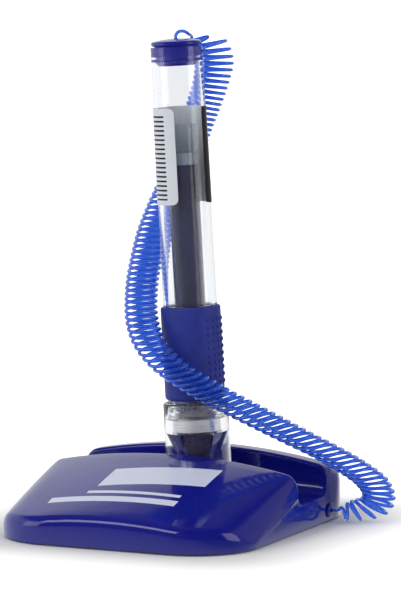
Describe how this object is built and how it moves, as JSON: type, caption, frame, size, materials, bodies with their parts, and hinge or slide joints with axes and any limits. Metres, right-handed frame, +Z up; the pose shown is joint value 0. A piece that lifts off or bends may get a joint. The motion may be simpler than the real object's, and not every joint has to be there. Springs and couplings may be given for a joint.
{
  "type": "counter pen",
  "caption": "Ball pen on a curly cord, standing in a clear cup on a weighted moulded base with a pen trough across it.",
  "frame": {"origin": "on the desk, under the middle of the base", "axes": "+X to the right along the trough, -Y towards the low front of the base, +Z up"},
  "size_m": [0.0896, 0.0874, 0.1323],
  "materials": {
    "base_blue": "glossy moulded plastic, deep blue",
    "cover_black": "fine matt texture, black",
    "weight_steel": "cut steel plate",
    "foot_rubber": "matt black rubber",
    "screw_zinc": "bright zinc plate",
    "cord_blue": "glossy translucent plastic, bright blue",
    "clear_plastic": "clear moulded plastic, polished",
    "grip_rubber": "soft matt rubber with moulded studs, blue",
    "pen_blue": "glossy moulded plastic, blue",
    "nose_grey": "moulded plastic, dark grey-violet",
    "collar_satin": "satin turned metal",
    "tip_metal": "polished metal",
    "refill_plastic": "clear to milky plastic",
    "ink_navy": "wet, dark navy",
    "follower_grease": "clear grease",
    "label_film": "silver-white film with plain stripes"
  },
  "bodies": {
    "base": {"base_shell": "base_blue", "bottom_cover": "cover_black", "steel_weight": "weight_steel", "foot_1": "foot_rubber", "foot_2": "foot_rubber", "foot_3": "foot_rubber", "foot_4": "foot_rubber", "cover_screw_1": "screw_zinc", "cover_screw_2": "screw_zinc", "cover_screw_3": "screw_zinc", "cover_screw_4": "screw_zinc", "cord_grommet": "cord_blue", "cord_clamp": "screw_zinc", "curly_cord": "cord_blue", "pen_cup": "clear_plastic", "cup_screw": "screw_zinc"},
    "pen": {"pen_barrel": "clear_plastic", "rubber_grip": "grip_rubber", "nose_cone": "nose_grey", "nose_collar": "collar_satin", "writing_tip": "tip_metal", "tip_ball": "tip_metal", "refill_holder": "refill_plastic", "refill_tube": "refill_plastic", "ink_column": "ink_navy", "ink_follower": "follower_grease", "end_plug": "pen_blue", "cord_stop": "cord_blue", "barrel_label": "label_film"}
  },
  "joints": [
    {"name": "pen_lift", "type": "slide", "parent": "base", "child": "pen", "axis": [-0.0595, 0, 0.9982], "range_m": [0, 0.06], "deforming": ["curly_cord"]}
  ]
}
